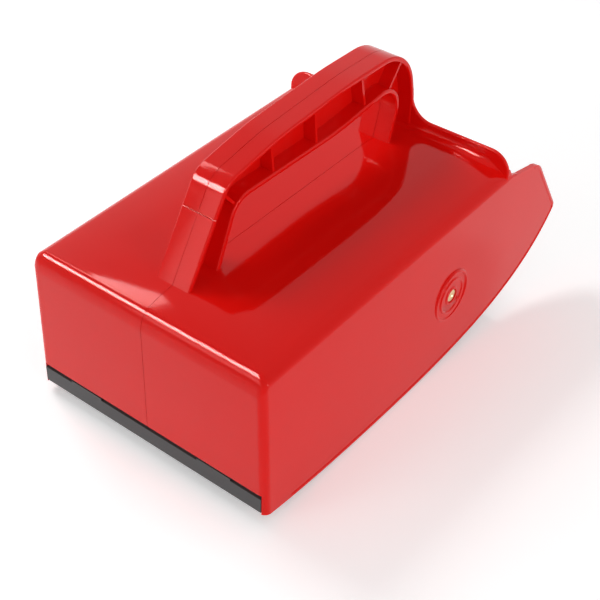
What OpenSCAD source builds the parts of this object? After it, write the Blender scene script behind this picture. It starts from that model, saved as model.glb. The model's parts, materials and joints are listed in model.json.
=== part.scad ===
// Hand carpet sweeper: a two-part casing with a loop handle, a driven brush,
// four small wheels and a drop-down dust tray.
// X runs across the casing, Y points to the open mouth, Z is up.

/* [Casing] */
// Width of the casing at the rim
casing_w = 150; // [135:1:185]
// Width that the side walls lose from the rim to the top edge
draft_in = 4.6; // [2:0.2:8]
// Wall thickness
wall = 2.5; // [2:0.1:3.2]
// Height of the top deck at the rear, over the rim
deck_z = 92.8; // [86:0.2:112]
// Slope of the deck, rising to the mouth, in degrees
deck_tilt = 1.5; // [0:0.1:2]
// Distance from the rear wall to the front lip
deck_len = 203; // [180:0.1:245]
// How far the cheeks reach ahead of the lip
cheek_reach = 59.4; // [48:0.1:72]
// Height of the upturned lip over the deck
lip_h = 7; // [5:0.5:12]
// Width of the sloping bands along the deck's edges
band_w = 20.7; // [14:0.1:26]
// Fall of the sloping bands
band_drop = 4.8; // [2:0.1:7]
// Slot between the two casing halves
seam_gap = 0.2; // [0.1:0.05:0.4]
// Height of the rear wall's lower edge over the rim
rear_sill_z = 17.9; // [16.5:0.1:24]
// Height of the rim over the floor
rim_gap = 0.8; // [0.4:0.1:3]

/* [Handle] */
// Height of the grip's top over the rim
grip_top_z = 150.3; // [142:0.1:180]
// Width across the grip's flanges
grip_w = 20; // [16:0.5:28]
// Thickness of the grip's flanges
flange_t = 2.8; // [2:0.1:4]
// Thickness of the grip's centre web
web_t = 2.6; // [2:0.1:4]

/* [Brush] */
// Distance from the rear wall to the brush axle
brush_y = 153.7; // [150:0.1:158]
// Height of the brush axle over the rim
brush_z = 43.2; // [43:0.1:48]
// Radius over the bristle tips
brush_r = 42.4; // [34:0.1:42.6]
// Diameter of the brush axle
axle_d = 8; // [6:0.1:9.6]
// Diameter of the brush core
core_d = 26; // [20:1:34]
// Number of bristle rows
rows = 6; // [4:1:8]
// Diameter of the brush pulley's belt seat
brush_pulley_d = 12; // [11:0.5:14.4]

/* [Wheels] */
// Diameter over the tyres
wheel_d = 28; // [23:0.1:34]
// Width of a tyre
wheel_w = 6; // [5:0.1:7.2]
// Diameter of a wheel pin
pin_d = 4; // [3:0.1:5]
// Distance from the rear wall to the rear wheels
rear_wheel_y = 52; // [42:1:64]
// Distance from the rear wall to the front wheels
front_wheel_y = 168; // [150:1:176]
// Diameter of the drive pulley's belt seat
drive_pulley_d = 24; // [20:1:26]

/* [Dust tray] */
// Distance from the rear wall to the tray's hinge
hinge_y = 106; // [100:1:108]
// Diameter of the hinge rod
hinge_d = 3; // [2.4:0.1:4]
// Height of the tray's walls
tray_h = 27; // [20:1:32]
// Height of the strip that closes the rear
strip_h = 8.8; // [7:0.1:9.8]
// Height of the tray's underside over the rim
tray_z = 6.7; // [5.6:0.1:7.5]

/* [Fits] */
// Radial play of a turning fit
run_fit = 0.06; // [0.04:0.01:0.1]
// Play between pieces that only stand beside each other
side_fit = 0.1; // [0.05:0.05:0.3]

/* [Hidden] */
$fn = 64;

red = "#d8322c";
charcoal = "#35353a";
half_w = casing_w / 2;
top_half_w = half_w - draft_in / 2;
rise = tan(deck_tilt);
deck_front_z = deck_z + deck_len * rise;
crease_z = deck_z - band_drop;
crease_r = 4;
rear_edge_r = 9;
band_r = 40;
tip_z = 43.7;
tip_r = 4;
brow_r = 10;
brow_back = 26.4;
brow_z = 84;
cheek_foot_z = deck_front_z - 7.2;
bead_w = 2.2;
bead_h = 0.6;
far = 400;

// Screws that clamp the two halves: distance from the rear wall, for each
screw_ys = [28, 98, 190];
screw_d = 3;
screw_head_d = 6.4;
screw_head_t = 2.4;
boss_len = 8;
boss_r = 4.5;

// Brush bay
bulk_in = half_w - 17.5;
bulk_t = 2;
bulk_out = bulk_in + bulk_t;
core_len = 2 * (bulk_in - 3.5);
cap_t = 2;
cap_r = 20;
hub_r = axle_d / 2 + 2;
hub_fit = 0.4;
pulley_w = 2.8;
pulley_x = bulk_out + 1.1;
flange_r_step = 1.2;
pulley_flange_t = 0.5;
belt_t = 1.4;
belt_fit = 0.1;
ring_out_r = 15.1;
ring_in_r = 10.6;
ring_w = 1.8;
ring_h = 0.8;
axle_boss_r = 8;
axle_boss_in = 8.2;

// Wheels
wheel_x = pulley_x + pulley_w + 1;
wheel_z = wheel_d / 2 - rim_gap;
tyre_t = 3;
tyre_fit = 0.03;
pin_boss_r = 4.5;
pin_boss_in = wheel_x + wheel_w + 0.5;

// Dust tray
hinge_z = tray_z + 2.6;
hinge_wall = 1.9;
knuckle_len = 12;
tray_t = 2;
tray_side = bulk_in - 1;
tray_back_y = 7;
tray_front_y = hinge_y - 6;
strip_side = half_w - wall - 0.6;
tab_in = 32;
tab_out = 53;
tab_h = 1.2;
finger_y = 3.6;
finger_t = 1.5;
finger_z = 22;

// Ramp and comb
ramp_clear = 2.6;
ramp_t = 2;
ramp_low = 52;
ramp_high = 10;
comb_y = brush_y - 37.7;
comb_z = 72;
comb_teeth = 27;
comb_tooth_w = 1.6;
comb_t = 1.6;

function unit(v) = v / norm(v);
function turn(a, b) = a[0] * b[1] - a[1] * b[0];

// One outline corner [y, z, radius] as points on its arc
function corner(a, b, c) =
    let (u = unit([a[0] - b[0], a[1] - b[1]]), v = unit([c[0] - b[0], c[1] - b[1]]))
    let (half = acos(u * v) / 2, r = b[2])
    r == 0 ? [[b[0], b[1]]] :
    let (centre = [b[0], b[1]] + unit(u + v) * r / sin(half), p = [b[0], b[1]] + u * r / tan(half))
    let (start = atan2(p[1] - centre[1], p[0] - centre[0]), sweep = sign(turn(-u, v)) * (180 - 2 * half))
    let (steps = max(2, ceil(abs(sweep) / 9)))
    [for (i = [0:steps]) centre + r * [cos(start + sweep * i / steps), sin(start + sweep * i / steps)]];

function rounded(c) =
    let (n = len(c))
    [for (i = [0:n - 1]) each corner(c[(i + n - 1) % n], c[i], c[(i + 1) % n])];

// Corners of an anticlockwise outline moved inwards, with their radii following
function inset(c, d) =
    let (n = len(c))
    [for (i = [0:n - 1])
        let (a = c[(i + n - 1) % n], b = c[i], e = c[(i + 1) % n])
        let (u = unit([b[0] - a[0], b[1] - a[1]]), v = unit([e[0] - b[0], e[1] - b[1]]))
        let (m = [-u[1], u[0]], k = [-v[1], v[0]])
        let (p = [b[0], b[1]] + d * (m + k) / (1 + m * k))
        [p[0], p[1], b[2] == 0 ? 0 : max(0, b[2] - d * sign(turn(u, v)))]];

function bezier(a, b, c, d, steps) =
    [for (i = [1:steps]) let (t = i / steps, s = 1 - t)
        let (p = s * s * s * a + 3 * s * s * t * b + 3 * s * t * t * c + t * t * t * d)
        [p[0], p[1], 0]];

// Lower edge of the side walls, from the rear corner to the tip of the cheek
sole_y = 100;
rim_rear = bezier([3, 5], [30, 1.2], [65, 0], [sole_y, 0], 6);
rim_front = bezier([sole_y, 0], [180, 0],
    [deck_len + cheek_reach - 30.4, 10], [deck_len + cheek_reach - 2.4, tip_z - 2.7], 10);
rim = concat([[0, 5.3, 3]], rim_rear, rim_front, [[deck_len + cheek_reach, tip_z, tip_r]]);

casing_side = concat(rim, [[deck_len + cheek_reach - brow_back, brow_z, brow_r],
    [deck_len, cheek_foot_z, 0], [deck_len, deck_front_z, 0],
    [band_w, deck_z + band_w * rise, band_r], [0, crease_z + 0.3, rear_edge_r]]);
cavity_side = [[wall, -far, 0], [far, -far, 0], [far, deck_z - wall + far * rise, 0],
    [band_w, deck_z - wall + band_w * rise, 0], [wall, crease_z + 0.3 - wall, rear_edge_r - wall]];
length_y = max([for (p = rounded(casing_side)) p[0]]);

// Across the casing, before it is tilted with the deck
flare = draft_in / 2 / crease_z;
foot_z = -20;
section_half = [[half_w - foot_z * flare, foot_z, 0], [top_half_w, crease_z, crease_r],
    [top_half_w - band_w, deck_z, band_r]];
section = concat(section_half, [for (i = [2:-1:0]) [-section_half[i][0], section_half[i][1], section_half[i][2]]]);

// Handle, seen from the side
grip_rear_y = 50.6;
handle_outer = [[22.1, deck_z - 0.5, 0], [deck_len, deck_front_z - 1.5, 0], [deck_len, deck_front_z + 19, 0],
    [deck_len - 7.4, grip_top_z, 29], [145, grip_top_z, 200], [86, grip_top_z - 4.4, 120],
    [grip_rear_y, grip_top_z - 11.2, 15]];
handle_open = [[44.5, deck_z - 0.5, 0], [deck_len - 23, deck_front_z - 3, 0],
    [deck_len - 12.7, grip_top_z - 18.7, 12], [136, grip_top_z - 25.6, 200],
    [grip_rear_y + 7.6, grip_top_z - 25.6, 12]];
rib_t = 1.4;
rib_x = 7.5;
// Ribs across the channel: centre and lean of each
ribs = [[184.2, grip_top_z - 14.6, 37.5], [156.8, grip_top_z - 12.9, -12.8], [117.9, grip_top_z - 16.6, -5],
    [84.9, grip_top_z - 20.8, -6.3], [57, grip_top_z - 26.6, -40]];

module frame_place() {
    translate([0, -length_y / 2, rim_gap]) children();
}

// Extrudes a side outline across X, from x0 to x1
module across(x0, x1) {
    translate([x0, 0, 0]) rotate([90, 0, 90]) linear_extrude(x1 - x0) children();
}

// Extrudes a cross section along Y, tilted with the deck
module along() {
    rotate([deck_tilt, 0, 0]) translate([0, far, 0]) rotate([90, 0, 0]) linear_extrude(2 * far) children();
}

module rod(x0, x1, r, y, z) {
    translate([x0, y, z]) rotate([0, 90, 0]) cylinder(h = x1 - x0, r = r);
}

module ring(x0, x1, r1, r2, y, z) {
    difference() {
        rod(x0, x1, r2, y, z);
        rod(x0 - 1, x1 + 1, r1, y, z);
    }
}

// Mirrors its children for the left side
module side(s) {
    if (s > 0) children();
    else mirror([1, 0, 0]) children();
}

// Upturned lip, curving down into the cheeks and up into the handle's front leg
module lip() {
    lip_t = 2.2;
    lip_top = deck_front_z + lip_h;
    leg = grip_w / 2;
    right_edge = [[top_half_w, crease_z, 0], [top_half_w, lip_top, 12], [leg, lip_top, 12],
        [leg, lip_top + 14, 0]];
    translate([0, deck_len, 0]) rotate([90, 0, 0]) linear_extrude(lip_t) polygon(rounded(concat(right_edge,
        [for (i = [3:-1:0]) [-right_edge[i][0], right_edge[i][1], right_edge[i][2]]])));
}

module shell() {
    difference() {
        union() {
            intersection() {
                across(-half_w - 1, half_w + 1) polygon(rounded(casing_side));
                along() polygon(rounded(section));
            }
            lip();
        }
        intersection() {
            across(-half_w, half_w) polygon(rounded(cavity_side));
            along() polygon(rounded(inset(section, wall)));
        }
        translate([-strip_side - 0.2, -1, -1]) cube([2 * strip_side + 0.4, wall + 2, rear_sill_z + 1]);
    }
}

module bead() {
    translate([half_w, 0, 0]) rotate([0, -atan(flare), 0]) difference() {
        across(-1, bead_h) polygon(rounded(casing_side));
        across(-2, bead_h + 1) polygon(rounded(inset(casing_side, bead_w)));
        translate([-2, -1, brow_z - 14]) cube([4, deck_len, far]);
        translate([-2, -1, tip_z / 4]) cube([4, bead_w + 2, far]);
    }
}

module handle_half() {
    difference() {
        across(seam_gap / 2, grip_w / 2) difference() {
            polygon(rounded(handle_outer));
            polygon(rounded(handle_open));
        }
        across(web_t / 2, grip_w / 2 + 1) difference() {
            polygon(rounded(inset(handle_outer, flange_t)));
            polygon(rounded(inset(handle_open, -flange_t)));
        }
    }
    for (r = ribs) {
        intersection() {
            translate([0, r[0], r[1]]) rotate([-r[2], 0, 0]) translate([web_t / 2 - 0.5, -rib_t / 2, -far / 2])
                cube([rib_x - web_t / 2 + 0.5, rib_t, far]);
            across(0, grip_w) intersection() {
                polygon(rounded(inset(handle_outer, flange_t / 2)));
                translate([r[0] - 16, r[1] - 16]) square(32);
                difference() {
                    polygon(rounded(inset(handle_outer, flange_t / 2)));
                    polygon(rounded(inset(handle_open, -flange_t / 2)));
                }
            }
        }
    }
}

function screw_z(y) = deck_z + y * rise - wall - boss_r + 0.4;

module casing_half() {
    difference() {
        union() {
            intersection() {
                shell();
                translate([seam_gap / 2, -far, -far]) cube(2 * far);
            }
            handle_half();
            bead();
            for (y = screw_ys) rod(seam_gap / 2, boss_len, boss_r, y, screw_z(y));
            face_x = half_w - flare * brush_z;
            ring(face_x - 1, face_x + ring_h, ring_out_r - ring_w, ring_out_r, brush_y, brush_z);
            ring(face_x - 1, face_x + ring_h, ring_in_r - ring_w, ring_in_r, brush_y, brush_z);
            rod(half_w - axle_boss_in, face_x - 0.5, axle_boss_r, brush_y, brush_z);
            for (y = [rear_wheel_y, front_wheel_y])
                rod(pin_boss_in, half_w - wall / 2, pin_boss_r, y, wheel_z);
        }
        rod(0, far, axle_d / 2 + run_fit, brush_y, brush_z);
        for (y = [rear_wheel_y, front_wheel_y])
            rod(pin_boss_in - 1, half_w - wall, pin_d / 2 + run_fit, y, wheel_z);
        for (y = screw_ys) rod(-1, boss_len + 1, screw_d / 2 + run_fit, y, screw_z(y));
    }
}

module casing_right() {
    color(red) frame_place() casing_half();
}

module casing_left() {
    color(red) frame_place() mirror([1, 0, 0]) casing_half();
}

module bulkhead(s) {
    color(charcoal) frame_place() side(s) difference() {
        intersection() {
            across(bulk_in, bulk_out) intersection() {
                polygon(rounded(inset(casing_side, wall + side_fit)));
                polygon(rounded(inset(cavity_side, side_fit)));
                translate([0, -1]) square([deck_len - 1, far]);
            }
            along() polygon(rounded(inset(section, wall + side_fit)));
        }
        rod(0, far, hub_r + hub_fit, brush_y, brush_z);
        rod(0, far, hinge_d / 2 + run_fit, hinge_y, hinge_z);
        for (y = [rear_wheel_y, front_wheel_y]) rod(0, far, pin_d / 2 + run_fit, y, wheel_z);
    }
}

module seam_screw(y) {
    color("silver") frame_place() {
        rod(1 - boss_len, boss_len, screw_d / 2, y, screw_z(y));
        rod(boss_len, boss_len + screw_head_t, screw_head_d / 2, y, screw_z(y));
    }
}

module brush_axle() {
    axle_half = half_w - flare * brush_z + 0.3;
    color("#c9a24a") frame_place() rod(-axle_half, axle_half, axle_d / 2, brush_y, brush_z);
}

module brush_core() {
    color("#c8a06a") frame_place()
        ring(-core_len / 2, core_len / 2, axle_d / 2 + run_fit, core_d / 2, brush_y, brush_z);
}

module brush_cap(s) {
    color(charcoal) frame_place() side(s)
        ring(core_len / 2, core_len / 2 + cap_t, axle_d / 2 + run_fit, cap_r, brush_y, brush_z);
}

// Grooved pulley: its seat, two rims and a bore for a pin or axle of radius bore_r
module pulley(seat_r, bore_r, x0, y, z) {
    difference() {
        union() {
            rod(x0, x0 + pulley_w, seat_r, y, z);
            rod(x0, x0 + pulley_flange_t, seat_r + flange_r_step, y, z);
            rod(x0 + pulley_w - pulley_flange_t, x0 + pulley_w, seat_r + flange_r_step, y, z);
        }
        rod(x0 - 1, x0 + pulley_w + 1, bore_r, y, z);
    }
}

module brush_pulley() {
    color(charcoal) frame_place() {
        pulley(brush_pulley_d / 2, axle_d / 2 + run_fit, pulley_x, brush_y, brush_z);
        ring(core_len / 2 + cap_t, pulley_x, axle_d / 2 + run_fit, hub_r - 0.1, brush_y, brush_z);
    }
}

module bristle_row(i) {
    row_t = 3;
    row_len = core_len - 4;
    color("#2b2b2b") frame_place() translate([0, brush_y, brush_z]) rotate([360 / rows * (i - 0.5), 0, 0])
        intersection() {
            translate([-row_len / 2, -row_t / 2, core_d / 2 - 0.2]) cube([row_len, row_t, brush_r]);
            ring(-row_len, row_len, core_d / 2 + 0.02, brush_r, 0, 0);
        }
}

module dust_ramp() {
    inner_r = brush_r + ramp_clear;
    ramp_side = bulk_in - side_fit;
    color(charcoal) frame_place() {
        intersection() {
            ring(-ramp_side, ramp_side, inner_r, inner_r + ramp_t, brush_y, brush_z);
            across(-half_w, half_w) translate([brush_y, brush_z]) polygon([[0, 0],
                far * [-cos(ramp_high), -sin(ramp_high)], far * [-1, -1] * 2, far * [-cos(ramp_low), -sin(ramp_low)]]);
        }
        shelf_y = brush_y - (inner_r + ramp_t / 2) * cos(ramp_high);
        shelf_z = brush_z - (inner_r + ramp_t) * sin(ramp_high);
        translate([-ramp_side, tray_front_y, shelf_z]) cube([2 * ramp_side, shelf_y - tray_front_y, ramp_t]);
    }
}

module brush_comb() {
    comb_side = bulk_in - side_fit;
    pitch = (2 * comb_side - comb_tooth_w) / (comb_teeth - 1);
    comb_top = deck_z + comb_y * rise - wall - band_drop / 2;
    color(charcoal) frame_place() {
        translate([-comb_side, comb_y - comb_t, comb_z + 10])
            cube([2 * comb_side, comb_t, comb_top - comb_z - 10]);
        for (i = [0:comb_teeth - 1]) {
            translate([-comb_side + i * pitch, comb_y - comb_t, comb_z])
                cube([comb_tooth_w, comb_t, 11]);
        }
    }
}

// Closed loop around both pulleys, at distance d from their seats
function belt_loop(d) =
    let (run = [brush_y - rear_wheel_y, brush_z - wheel_z], r1 = drive_pulley_d / 2 + d, r2 = brush_pulley_d / 2 + d)
    let (aim = atan2(run[1], run[0]), lean = acos((r1 - r2) / norm(run)), n = 16)
    concat([for (i = [0:n]) let (a = aim + lean + i / n * (360 - 2 * lean))
            [rear_wheel_y, wheel_z] + r1 * [cos(a), sin(a)]],
        [for (i = [0:n]) let (a = aim - lean + i / n * 2 * lean) [brush_y, brush_z] + r2 * [cos(a), sin(a)]]);

module drive_belt() {
    belt_x = pulley_x + pulley_flange_t + belt_fit;
    color("#1d1d1d") frame_place() across(belt_x, belt_x + pulley_w - 2 * (pulley_flange_t + belt_fit)) difference() {
        polygon(belt_loop(belt_fit + belt_t));
        polygon(belt_loop(belt_fit));
    }
}

module drive_pulley() {
    color(charcoal) frame_place() {
        pulley(drive_pulley_d / 2, pin_d / 2 + run_fit, pulley_x, rear_wheel_y, wheel_z);
        ring(pulley_x + pulley_w, wheel_x, pin_d / 2 + run_fit, pin_d + 1, rear_wheel_y, wheel_z);
    }
}

// One wheel's three pieces, by name
module wheel_piece(piece, s, y) {
    rim_r = wheel_d / 2 - tyre_t;
    if (piece == "hub_") color(charcoal) frame_place() side(s)
        ring(wheel_x, wheel_x + wheel_w, pin_d / 2 + run_fit, rim_r, y, wheel_z);
    if (piece == "tyre_") color("#1d1d1d") frame_place() side(s)
        ring(wheel_x, wheel_x + wheel_w, rim_r + tyre_fit, wheel_d / 2, y, wheel_z);
    if (piece == "pin_") color("silver") frame_place() side(s)
        rod(bulk_in, half_w - wall - side_fit, pin_d / 2, y, wheel_z);
}

module dust_tray() {
    color(charcoal) frame_place() difference() {
        union() {
            translate([-strip_side, 0, tray_z]) cube([2 * strip_side, wall, strip_h]);
            translate([-tray_side, 0, tray_z]) cube([2 * tray_side, hinge_y - 2, tray_t]);
            translate([-tray_side, tray_back_y, tray_z]) cube([2 * tray_side, tray_t, tray_h]);
            translate([-tray_side, tray_front_y - tray_t, tray_z]) cube([2 * tray_side, tray_t, tray_h - 3]);
            for (s = [1, -1]) side(s) {
                translate([tray_side - tray_t, tray_back_y, tray_z])
                    cube([tray_t, tray_front_y - tray_back_y, tray_h]);
                translate([tab_in, 0, tray_z]) cube([tab_out - tab_in, wall, strip_h + tab_h]);
                translate([tab_in + 2, finger_y, tray_z]) cube([tab_out - tab_in - 4, finger_t, finger_z - tray_z]);
                rod(tray_side - knuckle_len, tray_side, hinge_d / 2 + hinge_wall, hinge_y, hinge_z);
            }
        }
        rod(-half_w, half_w, hinge_d / 2 + run_fit, hinge_y, hinge_z);
        translate([-tray_side + knuckle_len + side_fit, hinge_y - 4, tray_z - 1])
            cube([2 * (tray_side - knuckle_len - side_fit), far, tray_h]);
    }
}

module tray_hinge_rod() {
    color("silver") frame_place() rod(-bulk_out, bulk_out, hinge_d / 2, hinge_y, hinge_z);
}

module tray_seal() {
    seal_t = 1.5;
    color("#1d1d1d") frame_place()
        translate([-tray_side + tray_t + side_fit, tray_back_y + tray_t + side_fit, tray_z + tray_t])
            cube([2 * (tray_side - tray_t - side_fit), seal_t, tray_h - tray_t]);
}

casing_right();
casing_left();
bulkhead(1);  // bulkhead_right
bulkhead(-1);  // bulkhead_left
brush_axle();
brush_core();
brush_cap(1);  // brush_cap_right
brush_cap(-1);  // brush_cap_left
brush_pulley();
dust_ramp();
brush_comb();
drive_belt();
drive_pulley();
dust_tray();
tray_hinge_rod();
tray_seal();
for (i = [0:2]) {
    seam_screw(screw_ys[i]);
}
for (i = [1:rows]) {
    bristle_row(i);
}
for (w = [["rear_right", 1, rear_wheel_y], ["rear_left", -1, rear_wheel_y],
        ["front_right", 1, front_wheel_y], ["front_left", -1, front_wheel_y]], p = ["hub_", "tyre_", "pin_"]) {
    wheel_piece(p, w[1], w[2]);
}
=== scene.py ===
import bpy
import math
import json
from mathutils import Matrix, Vector


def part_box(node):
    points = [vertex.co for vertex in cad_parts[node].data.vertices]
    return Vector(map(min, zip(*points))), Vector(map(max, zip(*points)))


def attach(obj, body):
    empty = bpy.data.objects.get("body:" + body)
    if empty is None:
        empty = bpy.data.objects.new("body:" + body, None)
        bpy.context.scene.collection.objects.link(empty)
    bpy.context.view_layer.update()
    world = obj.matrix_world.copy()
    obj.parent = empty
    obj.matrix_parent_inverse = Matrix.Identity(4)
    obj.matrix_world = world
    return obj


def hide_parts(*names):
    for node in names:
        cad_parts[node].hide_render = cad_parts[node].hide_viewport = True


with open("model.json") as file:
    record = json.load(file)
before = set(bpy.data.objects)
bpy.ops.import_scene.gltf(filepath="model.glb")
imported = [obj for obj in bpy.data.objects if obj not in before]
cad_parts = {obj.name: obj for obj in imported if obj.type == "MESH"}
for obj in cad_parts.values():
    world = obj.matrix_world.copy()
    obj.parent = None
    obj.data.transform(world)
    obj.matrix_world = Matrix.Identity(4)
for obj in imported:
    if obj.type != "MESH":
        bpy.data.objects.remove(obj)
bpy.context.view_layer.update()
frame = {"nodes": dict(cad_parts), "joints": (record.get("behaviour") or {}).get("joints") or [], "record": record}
mm = 0.001
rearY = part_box("casing_right")[0][1]   # outer face of the rear wall
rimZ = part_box("casing_right")[0][2]    # lowest point of the casing's rim
axes = {joint["name"]: Vector(joint["pos_m"]) for joint in frame["joints"]}
wheelPlaces = ["rear_right", "rear_left", "front_right", "front_left"]
print("frame loaded")


# From the rear wall and the rim, in millimetres, to the frame
def yz(y, z):
    return rearY + y * mm, rimZ + z * mm


# A node's box in millimetres: its ends along X, and half its height
def reach(node):
    low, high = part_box(node)
    return low[0] / mm, high[0] / mm, (high[2] - low[2]) / 2 / mm


def activate(piece):
    if bpy.context.object and bpy.context.object.mode != "OBJECT":
        bpy.ops.object.mode_set(mode="OBJECT")
    bpy.ops.object.select_all(action="DESELECT")
    piece.select_set(True)
    bpy.context.view_layer.objects.active = piece


def pick(piece, kind, test):
    activate(piece)
    mesh = piece.data
    for group in (mesh.vertices, mesh.edges, mesh.polygons):
        for item in group:
            item.select = False
    spot = {v.index: v.co for v in mesh.vertices}
    if kind == "VERT":
        for v in mesh.vertices:
            v.select = test(v.co)
    if kind == "EDGE":
        for e in mesh.edges:
            e.select = test(spot[e.vertices[0]], spot[e.vertices[1]])
    if kind == "FACE":
        for p in mesh.polygons:
            p.select = test(p.center, p.normal)
    bpy.ops.object.mode_set(mode="EDIT")
    bpy.ops.mesh.select_mode(type=kind)


def leaveEdit():
    bpy.ops.object.mode_set(mode="OBJECT")


def editAll(piece):
    activate(piece)
    bpy.ops.object.mode_set(mode="EDIT")
    bpy.ops.mesh.select_all(action="SELECT")


def closeUp(piece):
    editAll(piece)
    bpy.ops.mesh.remove_doubles(threshold=0.000005)
    bpy.ops.mesh.normals_make_consistent(inside=False)
    leaveEdit()


def settle(piece):
    activate(piece)
    bpy.ops.object.transform_apply(location=True, rotation=True, scale=True)


def applyModifier(piece, kind, **settings):
    activate(piece)
    modifier = piece.modifiers.new(kind.title(), kind)
    for key, value in settings.items():
        setattr(modifier, key, value)
    bpy.ops.object.modifier_apply(modifier=modifier.name)


def combine(piece, other, operation):
    applyModifier(piece, "BOOLEAN", operation=operation, object=other, solver="EXACT")
    bpy.data.objects.remove(other)


def soften(piece, width, segments=2, angle=35):
    applyModifier(piece, "BEVEL", width=width * mm, segments=segments, limit_method="ANGLE",
        angle_limit=math.radians(angle))


def cube(name, low, high):
    centre = [(a + b) / 2 for a, b in zip(low, high)]
    bpy.ops.mesh.primitive_cube_add(size=1, location=centre)
    piece = bpy.context.object
    piece.name = name
    piece.scale = [b - a for a, b in zip(low, high)]
    settle(piece)
    return piece


# A block given in millimetres from the centre plane, the rear wall and the rim
def block(name, x, y, z):
    return cube(name, (x[0] * mm, *yz(y[0], z[0])), (x[1] * mm, *yz(y[1], z[1])))


def rod(name, x0, x1, radius, y, z, sides=48):
    bpy.ops.mesh.primitive_cylinder_add(vertices=sides, radius=radius * mm, depth=abs(x1 - x0) * mm,
        location=((x0 + x1) / 2 * mm, y, z), rotation=(0, math.pi / 2, 0))
    piece = bpy.context.object
    piece.name = name
    settle(piece)
    return piece


def copyOf(piece, name):
    twin = piece.copy()
    twin.data = piece.data.copy()
    twin.name = name
    bpy.context.collection.objects.link(twin)
    return twin


def joinAll(pieces, name):
    activate(pieces[0])
    for piece in pieces[1:]:
        piece.select_set(True)
    bpy.ops.object.join()
    whole = bpy.context.object
    whole.name = name
    return whole


def mirrored(piece, name):
    twin = copyOf(piece, name)
    twin.scale.x = -1
    settle(twin)
    editAll(twin)
    bpy.ops.mesh.normals_make_consistent(inside=False)
    leaveEdit()
    return twin


def finishPiece(piece, material, body, replaced=(), angle=32):
    activate(piece)
    bpy.ops.object.shade_smooth_by_angle(angle=math.radians(angle))
    applyModifier(piece, "WEIGHTED_NORMAL", keep_sharp=True)
    piece.data.materials.clear()
    piece.data.materials.append(material)
    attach(piece, body)
    if replaced:
        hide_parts(*replaced)
    return piece


# Outline corners are (y, z, radius) in millimetres; each becomes the points of its arc
def arcCorner(a, b, c):
    here = Vector(b[:2])
    if b[2] == 0:
        return [here]
    u = (Vector(a[:2]) - here).normalized()
    v = (Vector(c[:2]) - here).normalized()
    half = math.acos(max(-1, min(1, u.dot(v)))) / 2
    centre = here + (u + v).normalized() * b[2] / math.sin(half)
    first = here + u * b[2] / math.tan(half) - centre
    turn = -u.x * v.y + u.y * v.x
    sweep = math.copysign(math.pi - 2 * half, turn)
    steps = max(3, math.ceil(abs(sweep) / math.radians(6)))
    return [centre + Matrix.Rotation(sweep * i / steps, 2) @ first for i in range(steps + 1)]


def roundedOutline(corners):
    points = []
    for i, corner in enumerate(corners):
        points += arcCorner(corners[i - 1], corner, corners[(i + 1) % len(corners)])
    return points


def insetOutline(corners, distance):
    moved = []
    for i, b in enumerate(corners):
        a = Vector(corners[i - 1][:2])
        c = Vector(corners[(i + 1) % len(corners)][:2])
        here = Vector(b[:2])
        u = (here - a).normalized()
        v = (c - here).normalized()
        m = Vector((-u.y, u.x))
        k = Vector((-v.y, v.x))
        spot = here + distance * (m + k) / (1 + m.dot(k))
        side = math.copysign(1, u.x * v.y - u.y * v.x)
        moved.append((spot.x, spot.y, max(0, b[2] - distance * side) if b[2] else 0))
    return moved


def bezierCorners(a, b, c, d, steps):
    corners = []
    for i in range(1, steps + 1):
        t = i / steps
        s = 1 - t
        weights = (s ** 3, 3 * s * s * t, 3 * s * t * t, t ** 3)
        corners.append((sum(w * p[0] for w, p in zip(weights, (a, b, c, d))),
            sum(w * p[1] for w, p in zip(weights, (a, b, c, d))), 0))
    return corners


# A flat curve filled between its outlines and made solid, with rounded edges. It stands across X,
# from x0 to x1 with outlines of (y, z), or it faces along Y with outlines of (x, z).
def plate(name, outlines, x0, x1, edge=0.0, facing="X"):
    flat = bpy.data.curves.new(name, "CURVE")
    flat.dimensions = "2D"
    flat.fill_mode = "BOTH"
    for outline in outlines:
        spline = flat.splines.new("POLY")
        spline.points.add(len(outline) - 1)
        for point, place in zip(spline.points, outline):
            y, z = yz(place[0], place[1])
            point.co = (y if facing == "X" else place[0] * mm, z, 0, 1)
        spline.use_cyclic_u = True
    flat.extrude = ((x1 - x0) / 2 - edge) * mm
    flat.bevel_depth = edge * mm
    flat.bevel_resolution = 3
    flat.offset = -edge * mm
    piece = bpy.data.objects.new(name, flat)
    bpy.context.collection.objects.link(piece)
    activate(piece)
    bpy.ops.object.convert(target="MESH")
    piece = bpy.context.object
    if facing == "X":
        piece.rotation_euler = (math.pi / 2, 0, math.pi / 2)
        piece.location = ((x0 + x1) / 2 * mm, 0, 0)
    else:
        piece.rotation_euler = (math.pi / 2, 0, 0)
        piece.location = (0, yz((x0 + x1) / 2, 0)[0], 0)
    settle(piece)
    closeUp(piece)
    return piece


# A profile of (x, radius) in millimetres, spun about an axis along X
def turned(name, profile, axis, sides=64):
    wire = bpy.data.curves.new(name, "CURVE")
    wire.dimensions = "3D"
    spline = wire.splines.new("POLY")
    spline.points.add(len(profile) - 1)
    for point, (x, radius) in zip(spline.points, profile):
        point.co = (x * mm, axis.y, axis.z + radius * mm, 1)
    spline.use_cyclic_u = profile[0][1] > 0
    piece = bpy.data.objects.new(name, wire)
    bpy.context.collection.objects.link(piece)
    activate(piece)
    bpy.ops.object.convert(target="MESH")
    piece = bpy.context.object
    editAll(piece)
    bpy.ops.mesh.spin(steps=sides, angle=2 * math.pi, center=(0, axis.y, axis.z), axis=(1, 0, 0))
    leaveEdit()
    closeUp(piece)
    return piece


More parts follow.
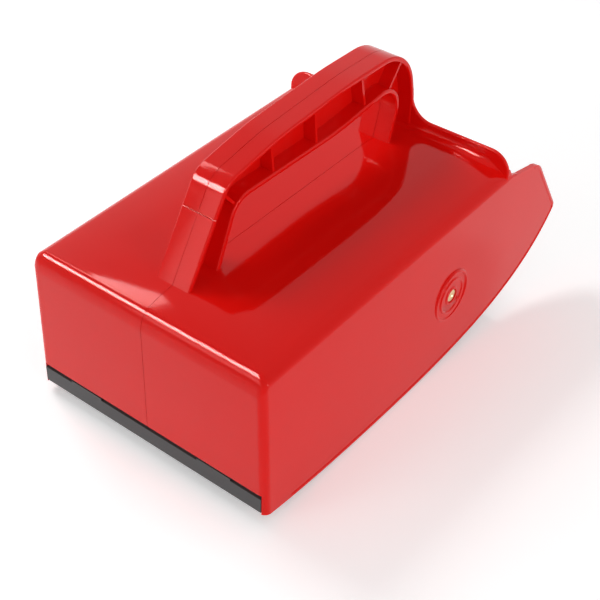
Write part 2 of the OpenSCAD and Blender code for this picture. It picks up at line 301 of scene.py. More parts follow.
class Value:
    def __init__(self, tree, socket):
        self.tree = tree
        self.socket = socket

    def math(self, operation, other=None, flip=False):
        node = self.tree.nodes.new("ShaderNodeMath")
        node.operation = operation
        ends = [other, self] if flip else [self, other]
        for end, socket in zip(ends, node.inputs):
            if isinstance(end, Value):
                self.tree.links.new(end.socket, socket)
            elif end is not None:
                socket.default_value = end
        return Value(self.tree, node.outputs[0])

    def __add__(self, other):
        return self.math("ADD", other)

    def __radd__(self, other):
        return self.math("ADD", other, True)

    def __sub__(self, other):
        return self.math("SUBTRACT", other)

    def __rsub__(self, other):
        return self.math("SUBTRACT", other, True)

    def __mul__(self, other):
        return self.math("MULTIPLY", other)

    def __rmul__(self, other):
        return self.math("MULTIPLY", other, True)

    def clamp(self):
        return self.math("MAXIMUM", 0.0).math("MINIMUM", 1.0)


class Graph:
    def __init__(self, tree):
        self.tree = tree

    def node(self, kind, settings, inputs, output=0):
        node = self.tree.nodes.new(kind)
        for key, value in settings.items():
            if key == "stops":
                for element, stop in zip(node.color_ramp.elements, value):
                    element.position = stop[0]
                    element.color = (*stop[1], 1)
            else:
                setattr(node, key, value)
        for key, value in inputs.items():
            socket = node.inputs[key]
            if isinstance(value, Value):
                self.tree.links.new(value.socket, socket)
            elif socket.type == "RGBA":
                socket.default_value = (*value, 1)
            else:
                socket.default_value = value
        return Value(self.tree, node.outputs[output])

    def shownRay(self):
        rays = [self.node("ShaderNodeLightPath", {}, {}, "Is " + kind + " Ray")
            for kind in ("Camera", "Glossy", "Transmission")]
        return (rays[0] + rays[1] + rays[2]).clamp()


class Finish(Graph):
    def __init__(self, name, colour, roughness, **constants):
        self.material = bpy.data.materials.new(name)
        self.material.use_nodes = True
        super().__init__(self.material.node_tree)
        self.shader = self.tree.nodes["Principled BSDF"]
        self.shader.inputs["Base Color"].default_value = (*colour, 1)
        self.shader.inputs["Roughness"].default_value = roughness
        for key, value in constants.items():
            self.shader.inputs[key.replace("_", " ")].default_value = value
        self.coords = self.node("ShaderNodeTexCoord", {}, {}, "Object")

    def noise(self, scale, detail=3.0, rough=0.5, stretch=(1, 1, 1)):
        vector = self.node("ShaderNodeMapping", {}, {"Vector": self.coords, "Scale": stretch})
        return self.node("ShaderNodeTexNoise", {}, {"Vector": vector, "Scale": scale,
            "Detail": detail, "Roughness": rough}, "Fac")

    def sharpened(self, value, low, high):
        stops = [(low, (0, 0, 0)), (high, (1, 1, 1))]
        return self.node("ShaderNodeValToRGB", {"stops": stops}, {"Fac": value})

    def mix(self, mask, first, second):
        return self.node("ShaderNodeMix", {"data_type": "RGBA"}, {0: mask, 6: first, 7: second}, 2)

    def feed(self, socket, value):
        self.tree.links.new(value.socket, self.shader.inputs[socket])

    def bump(self, height, strength, distance):
        self.feed("Normal", self.node("ShaderNodeBump", {}, {"Height": height,
            "Strength": strength, "Distance": distance}, "Normal"))


def redPlastic():
    finish = Finish("glossyRed", (0.80, 0.006, 0.004), 0.08, IOR=1.45, Specular_IOR_Level=0.32,
        Specular_Tint=(1.0, 0.42, 0.40, 1.0), Subsurface_Weight=0.25, Subsurface_Scale=0.004,
        Subsurface_Radius=(1.0, 0.05, 0.03))
    cloud = finish.noise(14, 2)
    finish.feed("Base Color", finish.mix(cloud, (0.76, 0.005, 0.003), (0.84, 0.007, 0.005)))
    smear = finish.noise(90, 4, 0.6)
    scuff = finish.sharpened(finish.noise(60, 5, 0.7, (1, 6, 1)), 0.60, 0.75)
    finish.feed("Roughness", smear * 0.05 + scuff * 0.10 + 0.055)
    ripple = finish.noise(34, 1)
    finish.bump(finish.noise(300, 2) * 0.3 + ripple, 0.05, 0.0005)
    return finish.material


def grainedPlastic(name, colour, roughness):
    finish = Finish(name, colour, roughness, IOR=1.46)
    patch = finish.noise(45, 3)
    lighter = tuple(min(1, c * 1.35) for c in colour)
    finish.feed("Base Color", finish.mix(patch, colour, lighter))
    finish.feed("Roughness", patch * 0.12 + (roughness - 0.06))
    finish.bump(finish.noise(2600, 2), 0.25, 0.00008)
    return finish.material


def turnedMetal(name, colour, roughness):
    finish = Finish(name, colour, roughness, Metallic=1.0)
    lathe = finish.noise(90, 2, 0.5, (40, 1, 1))
    finish.feed("Roughness", lathe * 0.18 + (roughness - 0.08))
    dulled = tuple(c * 0.86 for c in colour)
    finish.feed("Base Color", finish.mix(finish.noise(300, 3), colour, dulled))
    finish.bump(lathe, 0.08, 0.00005)
    return finish.material


def beechWood():
    finish = Finish("beechCore", (0.50, 0.31, 0.15), 0.45)
    grain = finish.noise(40, 5, 0.5, (1, 14, 14))
    finish.feed("Base Color", finish.mix(grain, (0.60, 0.40, 0.22), (0.38, 0.21, 0.09)))
    finish.bump(grain, 0.1, 0.0001)
    return finish.material


red = redPlastic()
charcoal = grainedPlastic("charcoalPlastic", (0.030, 0.029, 0.030), 0.50)
blackRubber = grainedPlastic("blackRubber", (0.016, 0.016, 0.017), 0.74)
nylon = grainedPlastic("bristleNylon", (0.020, 0.019, 0.020), 0.40)
brass = turnedMetal("turnedBrass", (0.88, 0.70, 0.40), 0.26)
steel = turnedMetal("drawnSteel", (0.62, 0.62, 0.64), 0.30)
beech = beechWood()
print("materials made")

boreRadius = {"axle": 4.06, "pin": 2.06, "rod": 1.56, "screw": 1.56}

casing = {
    "halfWidth": 75.0,      # at the rim
    "draft": 2.3,           # lost on each side by the crease
    "wall": 2.5,
    "deckZ": 92.8,
    "deckTilt": 1.5,        # degrees
    "deckLength": 203.0,
    "cheekReach": 59.4,
    "band": 20.7,           # width of the sloping edge bands
    "bandDrop": 4.8,
    "softEdge": 13.0,       # reach of the round between deck and band
    "rearEdge": 10.0,       # reach of the round along the rear wall's top
    "crispEdge": 4.2,       # reach of the round at the crease and rear corners
    "lipHeight": 7.0,
    "lipWall": 2.2,
    "lipEnd": 12.0,         # radius at the lip's ends
    "lipRoot": 4.5,         # radius of the hollow between deck and lip
    "rearSill": 17.9,
    "slotHalf": 72.1,
    "seam": 0.22,
    "ridges": (15.1, 10.6),     # outer radii of the ridges around the axle
    "screwPlaces": (28, 98, 190),
    "bossLength": 8.0,
    "bossRadius": 4.5,
}
rise = math.tan(math.radians(casing["deckTilt"]))
creaseZ = casing["deckZ"] - casing["bandDrop"]
deckFront = casing["deckZ"] + casing["deckLength"] * rise
tipY = casing["deckLength"] + casing["cheekReach"]
sideLean = casing["draft"] / creaseZ
footZ = -20


def shellBlock(name, margin, rear, crisp):
    bottomHalf = casing["halfWidth"] - footZ * sideLean - margin
    topHalf = casing["halfWidth"] - casing["draft"] - margin
    y0, z0 = yz(margin, footZ)
    y1, z1 = yz(tipY + 60, creaseZ - margin)
    shape = cube(name, (-bottomHalf * mm, y0, z0), (bottomHalf * mm, y1, z1))
    hinge = (0, rearY, z1)
    pick(shape, "VERT", lambda v: v.z > z1 - mm)
    bpy.ops.transform.resize(value=(topHalf / bottomHalf, 1, 1), center_override=hinge)
    leaveEdit()
    pick(shape, "FACE", lambda c, n: n.z > 0.9)
    bpy.ops.mesh.inset(thickness=casing["band"] * mm)
    bpy.ops.transform.translate(value=(0, 0, casing["bandDrop"] * mm))
    leaveEdit()
    pick(shape, "VERT", lambda v: v.z > z1 - mm)
    bpy.ops.transform.rotate(value=-math.radians(casing["deckTilt"]), orient_axis="X", center_override=hinge)
    leaveEdit()
    innerX = (topHalf - casing["band"]) * mm
    pick(shape, "EDGE", lambda a, b: abs(a.x) < innerX + mm and abs(b.x) < innerX + mm
        and min(a.z, b.z) > z1)
    bpy.ops.mesh.bevel(offset=casing["softEdge"] * mm, segments=10, affect="EDGES")
    leaveEdit()
    outerX = (topHalf - 1) * mm
    pick(shape, "EDGE", lambda a, b: min(abs(a.x), abs(b.x)) > outerX
        and max(a.z, b.z) > z1 - mm and min(a.y, b.y) < y0 + 5 * mm)
    bpy.ops.transform.edge_bevelweight(value=crisp / rear)
    leaveEdit()
    pick(shape, "EDGE", lambda a, b: a.x * b.x < 0 and min(abs(a.x), abs(b.x)) > outerX
        and max(a.y, b.y) < y0 + mm and min(a.z, b.z) > z1 - mm)
    bpy.ops.transform.edge_bevelweight(value=1)
    leaveEdit()
    applyModifier(shape, "BEVEL", width=rear * mm, segments=10, limit_method="WEIGHT",
        use_clamp_overlap=False)
    return shape


rim = [(0, 5.3, 3)] + bezierCorners((3, 5), (30, 1.2), (65, 0), (100, 0), 10)
rim += bezierCorners((100, 0), (180, 0), (tipY - 30.4, 10), (tipY - 2.4, 41), 18)
rim += [(tipY, 43.7, 4)]
sideOutline = rim + [(tipY - 26.4, 84.2, 14), (casing["deckLength"] + 3, deckFront - 8, 5),
    (casing["deckLength"], deckFront + 40, 0), (-10, deckFront + 40, 0), (-10, 5.3, 0)]

grip = {
    "top": 150.3,
    "halfWidth": 10.0,
    "flange": 2.8,
    "web": 2.6,
    "edge": 0.9,            # radius along the flanges' edges
    "rib": 1.5,
    "ribReach": 8.6,
    "legLine": (41.6, 123.2, -29.7),    # fine line across the rear leg: place and slope in degrees
    "legGroove": (21.0, 1.8, 0.6),      # the cutter that makes it
}
gripTop = grip["top"]
sunk = casing["deckZ"] - 7   # the handle's feet reach through the deck, and the cavity trims them
handleOuter = [(18.0, sunk, 0), (casing["deckLength"], sunk, 0), (casing["deckLength"], deckFront + 19, 30),
    (casing["deckLength"] - 7.4, gripTop, 29), (145, gripTop, 200), (86, gripTop - 4.4, 120),
    (50.6, gripTop - 11.2, 15)]
handleOpen = [(41.7, sunk, 0), (casing["deckLength"] - 26.0, sunk, 0),
    (casing["deckLength"] - 12.7, gripTop - 18.7, 12), (136, gripTop - 25.6, 200), (58.2, gripTop - 25.6, 12)]
ribPlaces = [(184.2, gripTop - 14.6, 37.5), (156.8, gripTop - 12.9, -12.8), (117.9, gripTop - 16.6, -5),
    (84.9, gripTop - 20.8, -6.3), (57, gripTop - 26.6, -40)]


def handleParts():
    half = grip["halfWidth"]
    parts = [plate("outerFlange", [roundedOutline(handleOuter),
        roundedOutline(insetOutline(handleOuter, grip["flange"]))], -half, half, grip["edge"])]
    parts.append(plate("innerFlange", [roundedOutline(insetOutline(handleOpen, -grip["flange"])),
        roundedOutline(handleOpen)], -half, half, grip["edge"]))
    parts.append(plate("web", [roundedOutline(insetOutline(handleOuter, 1)),
        roundedOutline(insetOutline(handleOpen, -1))], -grip["web"] / 2, grip["web"] / 2))
    for y, z, lean in ribPlaces:
        bpy.ops.mesh.primitive_cube_add(size=1, location=(0, *yz(y, z)), rotation=(-math.radians(lean), 0, 0))
        rib = bpy.context.object
        rib.scale = (2 * grip["ribReach"] * mm, grip["rib"] * mm, 40 * mm)
        settle(rib)
        channel = plate("channel", [roundedOutline(insetOutline(handleOuter, 1.4)),
            roundedOutline(insetOutline(handleOpen, -1.4))], -half, half)
        combine(rib, channel, "INTERSECT")
        parts.append(rib)
    return parts


# The lip's plate curves down to the cheeks at its ends and up into the handle's front leg
def lipPlate():
    top = deckFront + casing["lipHeight"]
    half = casing["halfWidth"] - casing["draft"]
    leg = grip["halfWidth"] - 0.4
    corners = [(half, creaseZ - 1, 0), (half, top, casing["lipEnd"]), (leg, top, 13), (leg, top + 16, 0)]
    corners += [(-x, z, radius) for x, z, radius in reversed(corners)]
    return plate("lip", [roundedOutline(corners)], casing["deckLength"] - casing["lipWall"],
        casing["deckLength"], 1.0, "Y")


# How far the deck has fallen at a distance from the centre plane, over its soft edge and the band
def deckFall(x):
    slope = math.atan2(casing["bandDrop"], casing["band"])
    radius = casing["softEdge"] / math.tan(slope / 2)
    start = casing["halfWidth"] - casing["draft"] - casing["band"] - casing["softEdge"]
    if x < start:
        return 0
    bend = min(x - start, radius * math.sin(slope))
    return radius - math.sqrt(radius ** 2 - bend ** 2) + (x - start - bend) * math.tan(slope)


# Hollow between deck and lip: it falls with the deck and runs out before the lip's ends
def lipRoot():
    planeY = casing["deckLength"] - casing["lipWall"]
    root = casing["lipRoot"]
    fadeFrom, fadeTo = 56, 70
    shelf = deckFront - casing["lipWall"] * rise - 0.25     # sunk, so that it meets the deck on a clear line
    hollow = plate("lipRoot", [roundedOutline([(planeY - root - 3, shelf - 3, 0), (planeY + 1, shelf - 3, 0),
        (planeY + 1, shelf + root + 1, 0), (planeY, shelf + root + 1, 0), (planeY, shelf, root),
        (planeY - root - 3, shelf - (root + 3) * rise, 0)])], -fadeTo, fadeTo)
    for i in range(16):
        for x in (38 + 2 * i, -38 - 2 * i):
            editAll(hollow)
            bpy.ops.mesh.bisect(plane_co=(x * mm, 0, 0), plane_no=(1, 0, 0))
            leaveEdit()
    lipY, shelfZ = yz(planeY + 0.5, shelf - 0.1)
    for v in hollow.data.vertices:
        x = abs(v.co.x) / mm
        fade = min(1, max(0, (x - fadeFrom) / (fadeTo - fadeFrom))) ** 2
        if v.co.z > shelfZ - mm and v.co.y < lipY:
            v.co.y += (lipY - v.co.y) * fade
            v.co.z += (shelfZ - v.co.z) * fade
        v.co.z -= deckFall(x) * mm
    return hollow


# Each end of the lip flows forward into the cheek's top edge
lipEar = [(casing["deckLength"] - 2, deckFront - 11, 0), (casing["deckLength"] + 12, deckFront - 11, 0),
    (casing["deckLength"] + 9, deckFront - 8.8, 0), (casing["deckLength"] + 3.2, deckFront - 6.5, 5),
    (casing["deckLength"] + 0.6, deckFront - 2.2, 1.2), (casing["deckLength"] - 2, deckFront - 2.2, 0)]


def axleBoss(axis):
    face = casing["halfWidth"] - sideLean * (axis.z - rimZ) / mm
    outer, inner = casing["ridges"]
    boss = rod("boss", face - 1.2, face + 0.05, outer + 0.2, axis.y, axis.z, 96)
    steps = [(0.7, 0.85), (0.9, 0), (0.6, -0.85), (outer - inner - 2.3, 0), (0.5, 0.75), (0.8, 0),
        (0.6, -0.65), (3.4, 0), (0.5, 0.55)]
    pick(boss, "FACE", lambda c, n: n.x > 0.9)
    for width, height in steps:
        bpy.ops.mesh.inset(thickness=width * mm, depth=height * mm)
    leaveEdit()
    soften(boss, 0.22, 2, 25)
    return boss


bead = {
    "inset": 1.35,          # from the side's outline
    "radius": 1.25,
    "sink": 0.72,           # depth of its centre in the wall
    "sinkAtEnds": 2.2,      # more at both ends, so that it runs out
}


def edgeBead():
    outline = roundedOutline(insetOutline(sideOutline, bead["inset"]))
    route = [p for p in outline if p.x > 1.5 and (p.y < 30 or p.x > tipY - 40) and p.y < 86]
    wire = bpy.data.curves.new("bead", "CURVE")
    wire.dimensions = "3D"
    spline = wire.splines.new("POLY")
    spline.points.add(len(route) - 1)
    for i, (point, place) in enumerate(zip(spline.points, route)):
        sunkEnd = bead["sinkAtEnds"] if i in (0, len(route) - 1) else 0
        x = casing["halfWidth"] - bead["sink"] - sunkEnd - sideLean * place.y
        point.co = (x * mm, *yz(place.x, place.y), 1)
    wire.bevel_depth = bead["radius"] * mm
    wire.bevel_resolution = 3
    wire.use_fill_caps = True
    tube = bpy.data.objects.new("bead", wire)
    bpy.context.collection.objects.link(tube)
    activate(tube)
    bpy.ops.object.convert(target="MESH")
    tube = bpy.context.object
    closeUp(tube)
    return tube


def legGroove():
    y, z, slope = grip["legLine"]
    bpy.ops.mesh.primitive_cube_add(size=1, location=(0, *yz(y, z)), rotation=(math.radians(slope), 0, 0))
    groove = bpy.context.object
    groove.scale = [size * mm for size in grip["legGroove"]]
    settle(groove)
    return groove


def screwZ(y):
    return casing["deckZ"] + y * rise - casing["wall"] - casing["bossRadius"] + 0.4


def casingHalves():
    axis = axes["brush_spin"]
    half = casing["halfWidth"]
    body = shellBlock("casingWhole", 0, casing["rearEdge"], casing["crispEdge"])
    combine(body, plate("sidePrism", [roundedOutline(sideOutline)], -half * 1.2, half * 1.2), "INTERSECT")
    combine(body, lipPlate(), "UNION")
    combine(body, lipRoot(), "UNION")
    for x0, x1 in ((-half + 2.5, -half + 4.9), (half - 4.9, half - 2.5)):
        combine(body, plate("lipEar", [roundedOutline(lipEar)], x0, x1, 0.7), "UNION")
    print("casing outline and lip made")
    for part in handleParts():
        combine(body, part, "UNION")
    combine(body, legGroove(), "DIFFERENCE")
    print("handle joined")
    cavity = shellBlock("cavity", casing["wall"], casing["rearEdge"] - 2, casing["crispEdge"] - 2)
    combine(body, cavity, "DIFFERENCE")
    slot = block("rearSlot", (-casing["slotHalf"], casing["slotHalf"]), (-2, casing["wall"] + 1),
        (-2, casing["rearSill"]))
    combine(body, slot, "DIFFERENCE")
    editAll(body)
    bpy.ops.mesh.bisect(plane_co=(casing["seam"] / 2 * mm, 0, 0), plane_no=(1, 0, 0), use_fill=True,
        clear_inner=True)
    leaveEdit()
    right = body
    combine(right, axleBoss(axis), "UNION")
    combine(right, rod("axleSleeve", half - 8.2, half - 2, 8, axis.y, axis.z), "UNION")
    combine(right, edgeBead(), "UNION")
    for y in casing["screwPlaces"]:
        place = yz(y, screwZ(y))
        boss = rod("screwBoss", casing["seam"] / 2, casing["bossLength"], casing["bossRadius"], *place)
        combine(right, boss, "UNION")
        combine(right, rod("screwHole", -1, casing["bossLength"] + 1, boreRadius["screw"], *place, 24),
            "DIFFERENCE")
    for place in ("rear_right", "front_right"):
        pin = axes["wheel_" + place + "_spin"]
        tyreEnd = reach("tyre_" + place)[1]
        combine(right, rod("pinBoss", tyreEnd + 0.5, half - 1.2, 4.5, pin.y, pin.z), "UNION")
        hole = rod("pinHole", tyreEnd - 0.5, half - casing["wall"], boreRadius["pin"], pin.y, pin.z, 24)
        combine(right, hole, "DIFFERENCE")
    combine(right, rod("axleHole", half - 20, half + 9, boreRadius["axle"], axis.y, axis.z), "DIFFERENCE")
    closeUp(right)
    right.name = "casingShellRight"
    left = mirrored(right, "casingShellLeft")
    finishPiece(right, red, "root", ["casing_right"])
    finishPiece(left, red, "root", ["casing_left"])


casingHalves()
print("casing made")



# Charcoal strip with two raised tabs, open box, spring fingers and hinge knuckles in one moulding
tray = {
    "strip": (71.9, 2.5, 8.8),      # half width, thickness, height
    "underside": 6.7,
    "tabs": (32, 53, 1.2),          # from, to, how far they stand over the strip
    "box": (56.5, 7.0, 100.0, 27.0),    # half width, back, front, height
    "wall": 2.0,
    "finger": (34, 51, 3.6, 5.1, 22.0),     # from, to, back, front, top
    "knuckle": (44.5, 56.5, 3.4),
    "floorRibs": 5,
    "edge": 0.45,
}


def dustTray():
    hinge = axes["tray_hinge"]
    z0 = tray["underside"]
    halfStrip, stripDepth, stripHeight = tray["strip"]
    side, back, front, height = tray["box"]
    wall = tray["wall"]
    body = block("dustTrayMoulding", (-halfStrip, halfStrip), (0, stripDepth), (z0, z0 + stripHeight))
    hingeY = (hinge.y - rearY) / mm
    extras = [block("floorPanel", (-side, side), (stripDepth - 1, hingeY - 2), (z0 + 0.01, z0 + wall)),
        block("backWall", (-side, side), (back, back + wall), (z0 + 0.5, z0 + height)),
        block("frontWall", (-side, side), (front - wall, front), (z0 + 0.5, z0 + height - 3))]
    for sign in (1, -1):
        def span(a, b):
            return sorted((sign * a, sign * b))
        tabIn, tabOut, tabRise = tray["tabs"]
        fingerIn, fingerOut, fingerBack, fingerFront, fingerTop = tray["finger"]
        knuckleIn, knuckleOut, knuckleRadius = tray["knuckle"]
        extras.append(block("sideWall", span(side - wall, side), (back, front), (z0 + 0.5, z0 + height)))
        extras.append(block("tab", span(tabIn, tabOut), (0, stripDepth),
            (z0 + 1, z0 + stripHeight + tabRise)))
        extras.append(block("finger", span(fingerIn, fingerOut), (fingerBack, fingerFront),
            (z0 + 1, fingerTop)))
        extras.append(rod("knuckle", *span(knuckleIn, knuckleOut), knuckleRadius, hinge.y, hinge.z))
    for extra in extras:
        combine(body, extra, "UNION")
    combine(body, rod("rodHole", -70, 70, boreRadius["rod"], hinge.y, hinge.z, 24), "DIFFERENCE")
    knuckleIn = tray["knuckle"][0] - 0.1
    clearance = block("clearance", (-knuckleIn, knuckleIn), (hingeY - 4, hingeY + 9), (0, 30))
    combine(body, clearance, "DIFFERENCE")
    soften(body, tray["edge"], 2, 40)
    for i in range(tray["floorRibs"]):
        y = 16 + i * 17
        combine(body, block("groove", (-side + 8, side - 8), (y, y + 1.6), (z0 - 1, z0 + 0.5)), "DIFFERENCE")
    finishPiece(body, charcoal, "tray", ["dust_tray"])


def traySeal():
    low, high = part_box("tray_seal")
    seal = cube("sealStrip", low, high)
    for i in range(3):
        z = low[2] + (high[2] - low[2]) * (0.3 + 0.25 * i)
        groove = cube("sealGroove", (low[0] - mm, high[1] - 0.4 * mm, z),
            (high[0] + mm, high[1] + mm, z + mm))
        combine(seal, groove, "DIFFERENCE")
    soften(seal, 0.25, 2, 40)
    finishPiece(seal, blackRubber, "tray", ["tray_seal"])


dustTray()
traySeal()
print("tray made")

wheel = {
    "lugs": 36,             # around each tyre
    "lugDepth": 0.5,
    "shoulder": 1.0,
    "dish": 1.5,            # depth of the recess in the hub's faces
    "bossRadius": 4.6,
    "rimWall": 2.4,
    "holes": 5,
    "holeRadius": 1.3,
}


def tyreRing(place):
    axis = axes["wheel_" + place + "_spin"]
    x0, x1, radius = reach("tyre_" + place)
    inside = reach("hub_" + place)[2] + 0.03
    shoulder = wheel["shoulder"]
    profile = [(x0, inside), (x0, radius - shoulder), (x0 + shoulder * 0.3, radius - shoulder * 0.3),
        (x0 + shoulder, radius), (x1 - shoulder, radius), (x1 - shoulder * 0.3, radius - shoulder * 0.3),
        (x1, radius - shoulder), (x1, inside)]
    tyre = turned("tyre" + place.title().replace("_", ""), profile, axis, wheel["lugs"] * 2)
    turnStep = math.pi / wheel["lugs"]
    pick(tyre, "FACE", lambda c, n: abs(n.x) < 0.2
        and math.hypot(c.y - axis.y, c.z - axis.z) > (radius - 0.3) * mm
        and math.floor(math.atan2(c.z - axis.z, c.y - axis.y) / turnStep) % 2 == 0)
    bpy.ops.mesh.inset(thickness=0.15 * mm, depth=-wheel["lugDepth"] * mm, use_individual=True)
    leaveEdit()
    finishPiece(tyre, blackRubber, "wheel_" + place, ["tyre_" + place])


def hubDisc(place):
    axis = axes["wheel_" + place + "_spin"]
    x0, x1, radius = reach("hub_" + place)
    rim = radius - wheel["rimWall"]
    face = [(x0, boreRadius["pin"]), (x0, wheel["bossRadius"] - 0.4), (x0 + 0.4, wheel["bossRadius"]),
        (x0 + wheel["dish"], wheel["bossRadius"] + 0.4), (x0 + wheel["dish"], rim - 0.5),
        (x0 + 0.4, rim), (x0, rim + 0.4), (x0, radius - 0.4), (x0 + 0.4, radius)]
    profile = face + [(x0 + x1 - x, r) for x, r in reversed(face)]
    hub = turned("hub" + place.title().replace("_", ""), profile, axis)
    ringRadius = (wheel["bossRadius"] + rim) / 2 * mm
    for i in range(wheel["holes"]):
        angle = 2 * math.pi * i / wheel["holes"]
        combine(hub, rod("hole", x0 - 1, x1 + 1, wheel["holeRadius"], axis.y + math.cos(angle) * ringRadius,
            axis.z + math.sin(angle) * ringRadius, 20), "DIFFERENCE")
    finishPiece(hub, charcoal, "wheel_" + place, ["hub_" + place])


def steelPin(place):
    axis = axes["wheel_" + place + "_spin"]
    x0, x1, radius = reach("pin_" + place)
    pin = turned("pin" + place.title().replace("_", ""), [(x0, 0), (x0, radius - 0.5), (x0 + 0.5, radius),
        (x1 - 0.5, radius), (x1, radius - 0.5), (x1, 0)], axis, 40)
    finishPiece(pin, steel, "root", ["pin_" + place])


for wheelPlace in wheelPlaces:
    tyreRing(wheelPlace)
    hubDisc(wheelPlace)
    steelPin(wheelPlace)
print("wheels made")

roller = {
    "capRim": 2.4,
    "capRecess": 0.6,
    "tufts": 30,            # in each bristle row
    "strands": 7,           # in each tuft
    "strandRadius": 0.34,
    "splay": 0.95,          # how far a tuft opens at its tip
    "stripHeight": 1.3,
}


def rollerCore():
    axis = axes["brush_spin"]
    x0, x1, radius = reach("brush_core")
    core = turned("rollerCore", [(x0, boreRadius["axle"]), (x0, radius - 0.8), (x0 + 0.8, radius),
        (x1 - 0.8, radius), (x1, radius - 0.8), (x1, boreRadius["axle"])], axis, 72)
    finishPiece(core, beech, "brush", ["brush_core"])


def rollerCap(place, outward):
    axis = axes["brush_spin"]
    x0, x1, radius = reach("brush_cap_" + place)
    inner, outer = (x0, x1) if outward > 0 else (x1, x0)
    recess = outer - outward * roller["capRecess"]
    profile = [(inner, boreRadius["axle"]), (inner, radius - 0.4), (inner + outward * 0.4, radius),
        (outer - outward * 0.5, radius), (outer, radius - 0.5), (outer, radius - roller["capRim"]),
        (recess, radius - roller["capRim"] - 0.6), (recess, 9.5), (outer, 8.9), (outer, boreRadius["axle"])]
    cap = turned("rollerCap" + place.title(), profile, axis, 80)
    finishPiece(cap, charcoal, "brush", ["brush_cap_" + place])


def bristleRows():
    axis = axes["brush_spin"]
    radius = reach("brush_core")[2]
    low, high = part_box("bristle_row_2")
    length = (high[0] - low[0]) / mm
    tip = max(abs(high[1] - axis.y), abs(low[1] - axis.y)) / mm
    rows = sorted(name for name in frame["nodes"] if name.startswith("bristle_row_"))
    step = (length - 4) / (roller["tufts"] - 1)
    strands = []
    for i in range(roller["strands"]):
        angle = 2 * math.pi * i / (roller["strands"] - 1)
        spread = 0 if i == roller["strands"] - 1 else 1
        away = Vector((math.cos(angle), math.sin(angle), 0)) * spread
        foot = Vector((-length / 2 + 2, 0, radius)) + away * 0.35
        head = Vector((-length / 2 + 2, 0, tip - 0.4)) + away * roller["splay"]
        lean = (head - foot).to_track_quat("Z", "Y").to_euler()
        bpy.ops.mesh.primitive_cone_add(vertices=5, radius1=roller["strandRadius"] * mm,
            radius2=roller["strandRadius"] * 0.75 * mm, depth=(head - foot).length * mm,
            location=(head + foot) / 2 * mm, rotation=lean)
        settle(bpy.context.object)
        strands.append(bpy.context.object)
    tuft = joinAll(strands, "tuft")
    applyModifier(tuft, "ARRAY", count=roller["tufts"], use_relative_offset=False, use_constant_offset=True,
        constant_offset_displace=(step * mm, 0, 0))
    strip = cube("strip", (-length / 2 * mm, -1.4 * mm, (radius - 0.4) * mm),
        (length / 2 * mm, 1.4 * mm, (radius + roller["stripHeight"]) * mm))
    soften(strip, 0.4, 2)
    row = joinAll([tuft, strip], "bristles")
    for i, name in enumerate(rows):
        copy = copyOf(row, "bristles" + str(i + 1))
        copy.rotation_euler.x = 2 * math.pi / len(rows) * (i + 0.5)
        copy.location = (0, axis.y, axis.z)
        settle(copy)
        finishPiece(copy, nylon, "brush", [name])
    bpy.data.objects.remove(row)


def groovedPulley(name, node, bore, sleeve, sleeveOutside, body):
    axis = axes[body + "_spin"] if body != "brush" else axes["brush_spin"]
    x0, x1, radius = reach(node)
    width = 2.8
    start = x0 if sleeveOutside else x1 - width
    seat = radius - 1.2
    profile = [(start, bore), (start, radius - 0.2), (start + 0.15, radius), (start + 0.35, radius),
        (start + 0.5, radius - 0.2), (start + 0.5, seat), (start + width - 0.5, seat),
        (start + width - 0.5, radius - 0.2), (start + width - 0.35, radius), (start + width - 0.15, radius),
        (start + width, radius - 0.2)]
    if sleeveOutside:
        profile += [(start + width, sleeve), (x1 - 0.2, sleeve), (x1, sleeve - 0.2), (x1, bore)]
    else:
        profile += [(start + width, bore), (x0, bore), (x0, sleeve - 0.3), (x0 + 0.3, sleeve),
            (start, sleeve)]
        profile = profile[1:]
    finishPiece(turned(name, profile, axis, 72), charcoal, body, [node])


def brassAxle():
    axis = axes["brush_spin"]
    x0, x1, radius = reach("brush_axle")
    end = [(x0 + 0.5, 0), (x0 + 0.5, 0.9), (x0, 1.4), (x0, radius - 0.9), (x0 + 0.25, radius - 0.35),
        (x0 + 0.7, radius)]
    axle = turned("brassAxle", end + [(x0 + x1 - x, r) for x, r in reversed(end)], axis, 64)
    finishPiece(axle, brass, "root", ["brush_axle"])


rollerCore()
rollerCap("right", 1)
rollerCap("left", -1)
bristleRows()
groovedPulley("rollerPulley", "brush_pulley", boreRadius["axle"], 5.9, False, "brush")
groovedPulley("wheelPulley", "drive_pulley", boreRadius["pin"], 5.0, True, "wheel_rear_right")
brassAxle()
print("roller made")

fixings = {"screwHead": 2.4, "slotWidth": 0.8, "slotDepth": 0.9}


def slottedScrew(name):
    low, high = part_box(name)
    axis = (Vector(low) + Vector(high)) / 2
    x0, x1, radius = reach(name)
    neck = x1 - fixings["screwHead"]
    profile = [(x0, 0), (x0, 1.1), (x0 + 0.4, 1.5), (neck, 1.5), (neck, radius), (x1 - 0.9, radius),
        (x1 - 0.3, radius - 0.7), (x1, radius - 1.6), (x1, 0)]
    screw = turned("slotted" + name.title().replace("_", ""), profile, axis, 40)
    halfSlot = fixings["slotWidth"] / 2 * mm
    slot = cube("slot", ((x1 - fixings["slotDepth"]) * mm, axis.y - 5 * mm, axis.z - halfSlot),
        ((x1 + 1) * mm, axis.y + 5 * mm, axis.z + halfSlot))
    combine(screw, slot, "DIFFERENCE")
    finishPiece(screw, steel, "root", [name])


def hingeRod():
    axis = axes["tray_hinge"]
    x0, x1, radius = reach("tray_hinge_rod")
    rodPiece = turned("hingeRod", [(x0, 0), (x0, radius - 0.4), (x0 + 0.4, radius), (x1 - 0.4, radius),
        (x1, radius - 0.4), (x1, 0)], axis, 40)
    finishPiece(rodPiece, steel, "root", ["tray_hinge_rod"])


for screwName in ("seam_screw_1", "seam_screw_2", "seam_screw_3"):
    slottedScrew(screwName)
hingeRod()
print("fixings made")

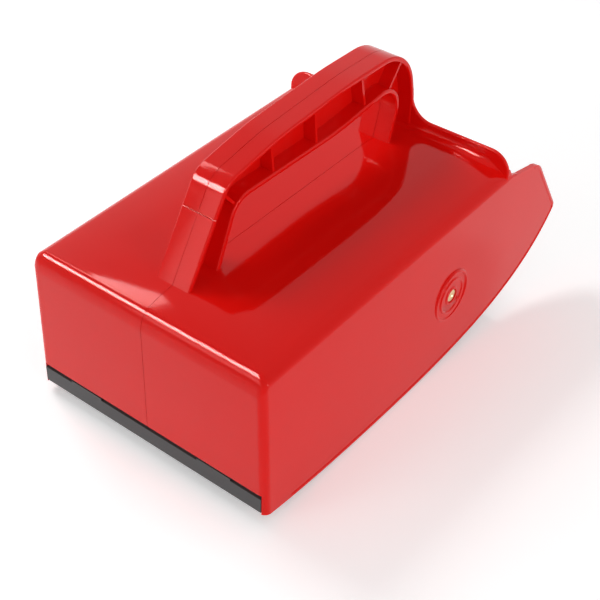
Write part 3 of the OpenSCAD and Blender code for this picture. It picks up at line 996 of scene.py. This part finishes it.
# The nodes whose shape is kept get their materials
finishes = {"charcoal_plastic": charcoal, "rubber": blackRubber, "brass": brass, "steel": steel,
    "core_wood": beech, "bristle": nylon, "casing_red": red}
for part in frame["record"]["subparts"]:
    node = frame["nodes"][part["node"]]
    node.data.materials.clear()
    node.data.materials.append(finishes[part["material_slot"]])

studio = {
    "floorSize": 6.0,
    "floorColour": (0.93, 0.925, 0.925),
    "floorLift": (0.34, 0.34, 0.34),    # what camera and glossy rays see over the floor's own shade
    "ambient": 0.38,
    # each softbox: place, target, size and power
    "window": ((-0.92, 0.06, 1.12), (0, 0, 0.05), (0.5, 0.4), 7.0),
    "sideFill": ((1.35, -0.15, 0.42), (0, 0, 0.06), (0.7, 0.4), 5.6),
    "rearStrip": ((-0.88, -1.10, 1.00), (-0.88, -0.1, 0.06), (1.1, 0.45), 80.0),
    "rearFill": ((-0.50, -1.30, 0.50), (0, 0, 0.05), (0.6, 0.4), 2.8),
}


def makeStage():
    bpy.ops.mesh.primitive_plane_add(size=studio["floorSize"], location=(0, 0, 0))
    floor = bpy.context.object
    floor.name = "floor"
    pale = Finish("paleFloor", studio["floorColour"], 0.65, Emission_Strength=1.0)
    seen = pale.shownRay()
    pale.feed("Emission Color", pale.mix(seen, (0, 0, 0), studio["floorLift"]))
    floor.data.materials.append(pale.material)
    world = bpy.data.worlds.new("studio")
    bpy.context.scene.world = world
    world.use_nodes = True
    sky = Graph(world.node_tree)
    strength = sky.shownRay() * (1 - studio["ambient"]) + studio["ambient"]
    background = world.node_tree.nodes["Background"]
    background.inputs["Color"].default_value = (1, 1, 1, 1)
    world.node_tree.links.new(strength.socket, background.inputs["Strength"])


def softbox(name):
    position, target, size, power = studio[name]
    data = bpy.data.lights.new(name, "AREA")
    data.shape = "RECTANGLE"
    data.size, data.size_y = size
    data.energy = power
    lamp = bpy.data.objects.new(name, data)
    bpy.context.collection.objects.link(lamp)
    lamp.visible_diffuse = name != "rearStrip"     # the strip only draws the highlight along the rear edge
    lamp.location = position
    lamp.rotation_euler = (Vector(target) - Vector(position)).to_track_quat("-Z", "Y").to_euler()


def makeCamera():
    view = {"place": (323.8, -308.2, 461.6), "target": (27.9, 83.5, 60.0), "roll": 1.85, "lens": 76.385}
    data = bpy.data.cameras.new("camera")
    data.lens = view["lens"]
    data.sensor_width = 36
    camera = bpy.data.objects.new("camera", data)
    bpy.context.collection.objects.link(camera)
    place = Vector((view["place"][0] * mm, *yz(*view["place"][1:])))
    target = Vector((view["target"][0] * mm, *yz(*view["target"][1:])))
    aim = (target - place).to_track_quat("-Z", "Y").to_matrix()
    camera.location = place
    camera.rotation_euler = (aim @ Matrix.Rotation(math.radians(view["roll"]), 3, "Z")).to_euler()
    bpy.context.scene.camera = camera


makeStage()
for lampName in ("window", "sideFill", "rearStrip", "rearFill"):
    softbox(lampName)
makeCamera()
bpy.context.scene.view_settings.view_transform = "Standard"
print("stage and camera set")
